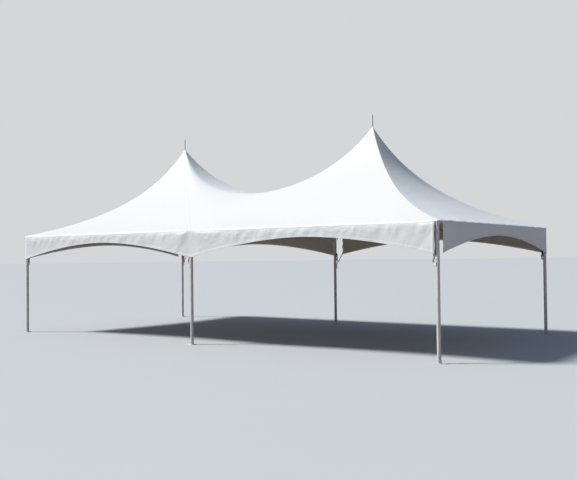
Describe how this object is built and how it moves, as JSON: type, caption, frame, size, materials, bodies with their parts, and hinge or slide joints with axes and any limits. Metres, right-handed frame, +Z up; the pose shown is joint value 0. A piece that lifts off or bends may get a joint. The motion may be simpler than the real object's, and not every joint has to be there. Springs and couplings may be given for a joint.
{
  "type": "frame marquee tent",
  "caption": "Open-sided frame marquee with pointed peaks joined by a low saddle, arched valances and round legs on staked base plates.",
  "frame": {"origin": "on the ground, in the middle of the plan between the six legs", "axes": "+X along the length towards the nearer end in the picture, the front long side faces -Y, +Z up"},
  "size_m": [12.522, 6.248, 5.34],
  "materials": {
    "aluminium_tube": "mill finish, dulled by use",
    "galvanised_steel": "galvanised, matt grey",
    "white_vinyl": "coated, blockout, satin",
    "steel_cable": "galvanised strand",
    "white_webbing": "woven polyester"
  },
  "bodies": {
    "root": {"cross_tube_middle": "aluminium_tube", "eave_tube_back_left": "aluminium_tube", "eave_tube_back_right": "aluminium_tube", "eave_tube_end_left": "aluminium_tube", "eave_tube_end_right": "aluminium_tube", "eave_tube_front_left": "aluminium_tube", "eave_tube_front_right": "aluminium_tube", "fitting_back_left": "galvanised_steel", "fitting_back_middle": "galvanised_steel", "fitting_back_right": "galvanised_steel", "fitting_front_left": "galvanised_steel", "fitting_front_middle": "galvanised_steel", "fitting_front_right": "galvanised_steel", "foot_back_left": "galvanised_steel", "foot_back_middle": "galvanised_steel", "foot_back_right": "galvanised_steel", "foot_front_left": "galvanised_steel", "foot_front_middle": "galvanised_steel", "foot_front_right": "galvanised_steel", "leg_back_left": "aluminium_tube", "leg_back_middle": "aluminium_tube", "leg_back_right": "aluminium_tube", "leg_front_left": "aluminium_tube", "leg_front_middle": "aluminium_tube", "leg_front_right": "aluminium_tube", "mast_cables_left": "steel_cable", "mast_cables_right": "steel_cable", "mast_left": "aluminium_tube", "mast_right": "aluminium_tube", "peak_cap_left": "white_vinyl", "peak_cap_right": "white_vinyl", "roof_back_left": "white_vinyl", "roof_back_right": "white_vinyl", "roof_end_left": "white_vinyl", "roof_end_right": "white_vinyl", "roof_front_left": "white_vinyl", "roof_front_right": "white_vinyl", "roof_saddle": "white_vinyl", "tension_strap_back_left": "white_webbing", "tension_strap_back_middle": "white_webbing", "tension_strap_back_right": "white_webbing", "tension_strap_front_left": "white_webbing", "tension_strap_front_middle": "white_webbing", "tension_strap_front_right": "white_webbing", "valance_back_left": "white_vinyl", "valance_back_right": "white_vinyl", "valance_end_left": "white_vinyl", "valance_end_right": "white_vinyl", "valance_front_left": "white_vinyl", "valance_front_right": "white_vinyl"}
  },
  "joints": []
}
